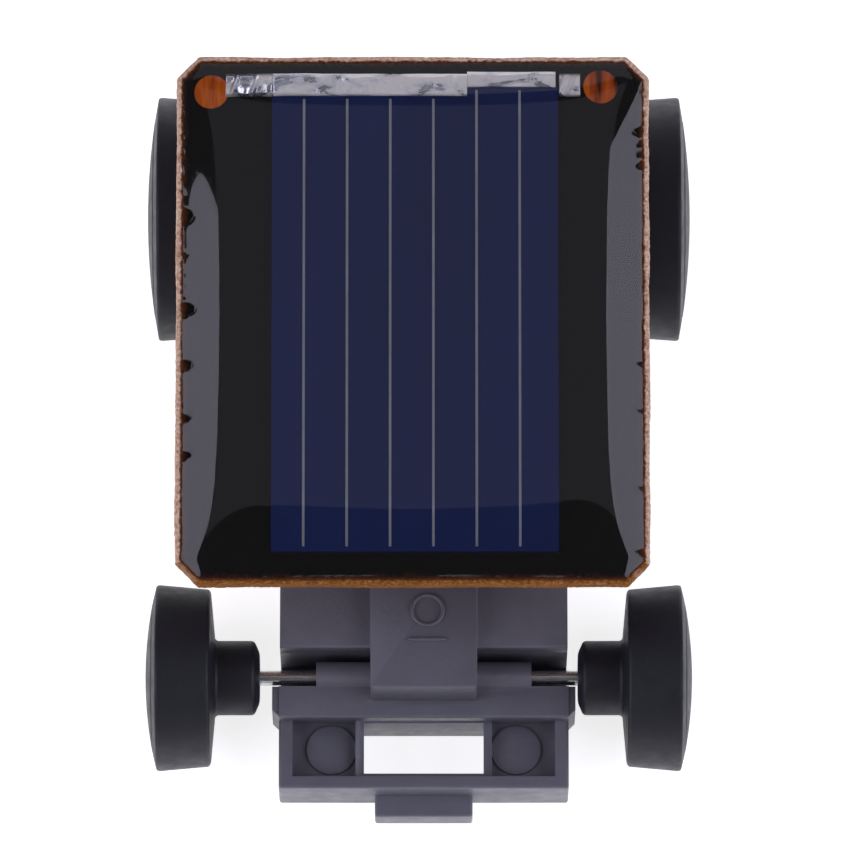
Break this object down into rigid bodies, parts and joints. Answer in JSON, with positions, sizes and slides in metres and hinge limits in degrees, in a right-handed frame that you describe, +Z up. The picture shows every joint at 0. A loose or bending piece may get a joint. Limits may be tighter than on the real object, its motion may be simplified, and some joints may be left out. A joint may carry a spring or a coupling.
{
  "type": "miniature solar car",
  "caption": "Palm-size solar car: pitched octagonal solar panel over a dark plastic chassis, turning wheelsets, and a cup-rotor motor geared to the rear axle.",
  "frame": {"origin": "on the ground, in the middle of the car's box", "axes": "+Z up, -Y towards the front bumper tab, +X towards the wheel on the right when seen from above with the front at the bottom"},
  "size_m": [0.022, 0.0292, 0.0138],
  "materials": {
    "moulded_plastic": "satin",
    "wheel_plastic": "satin",
    "steel": "bright drawn wire",
    "can_steel": "nickel plated",
    "gear_nylon": "moulded nylon",
    "bronze": "sintered",
    "magnet": "plated",
    "copper": "enamelled winding",
    "contact_metal": "bright",
    "cap_plastic": "moulded",
    "circuit_board": "snapped glass-fibre laminate",
    "amber_resin": "translucent",
    "silicon": "dark blue wafer",
    "silver_ink": "printed",
    "tinned_ribbon": "solder-dipped",
    "clear_epoxy": "poured, glossy",
    "foam": "closed-cell foam tape",
    "solder": "bright",
    "red_insulation": "smooth",
    "black_insulation": "smooth"
  },
  "bodies": {
    "car_body": {"chassis": "moulded_plastic", "body_cover": "moulded_plastic", "motor_can": "can_steel", "motor_bearing": "bronze", "motor_magnet": "magnet", "motor_end_cap": "cap_plastic", "motor_brushes": "contact_metal", "motor_terminals": "contact_metal", "panel_board": "circuit_board", "hole_fill": "amber_resin", "solar_cell": "silicon", "cell_fingers": "silver_ink", "ribbon_left": "tinned_ribbon", "solder_strip": "tinned_ribbon", "ribbon_right": "tinned_ribbon", "epoxy_dome": "clear_epoxy", "adhesive_pads": "foam", "solder_joints": "solder", "lead_red": "red_insulation", "lead_black": "black_insulation"},
    "front_wheelset": {"front_axle": "steel", "front_wheel_left": "wheel_plastic", "front_wheel_right": "wheel_plastic"},
    "rear_wheelset": {"rear_axle": "steel", "rear_wheel_left": "wheel_plastic", "rear_wheel_right": "wheel_plastic", "axle_gear": "gear_nylon"},
    "motor_rotor": {"motor_shaft": "steel", "motor_coil": "copper", "motor_commutator": "contact_metal", "motor_pinion": "contact_metal"}
  },
  "joints": [
    {"name": "front_axle_spin", "type": "hinge", "parent": "car_body", "child": "front_wheelset", "pos_m": [0, -0.00924, 0.00375], "axis": [1, 0, 0], "continuous": true},
    {"name": "rear_axle_spin", "type": "hinge", "parent": "car_body", "child": "rear_wheelset", "pos_m": [0, 0.00964, 0.00495], "axis": [1, 0, 0], "continuous": true},
    {"name": "motor_spin", "type": "hinge", "parent": "car_body", "child": "motor_rotor", "pos_m": [0, 0.00551, 0.00495], "axis": [1, 0, 0], "continuous": true}
  ],
  "couplings": [
    {"joint": "motor_spin", "follows": "rear_axle_spin", "ratio": -2.6667}
  ]
}
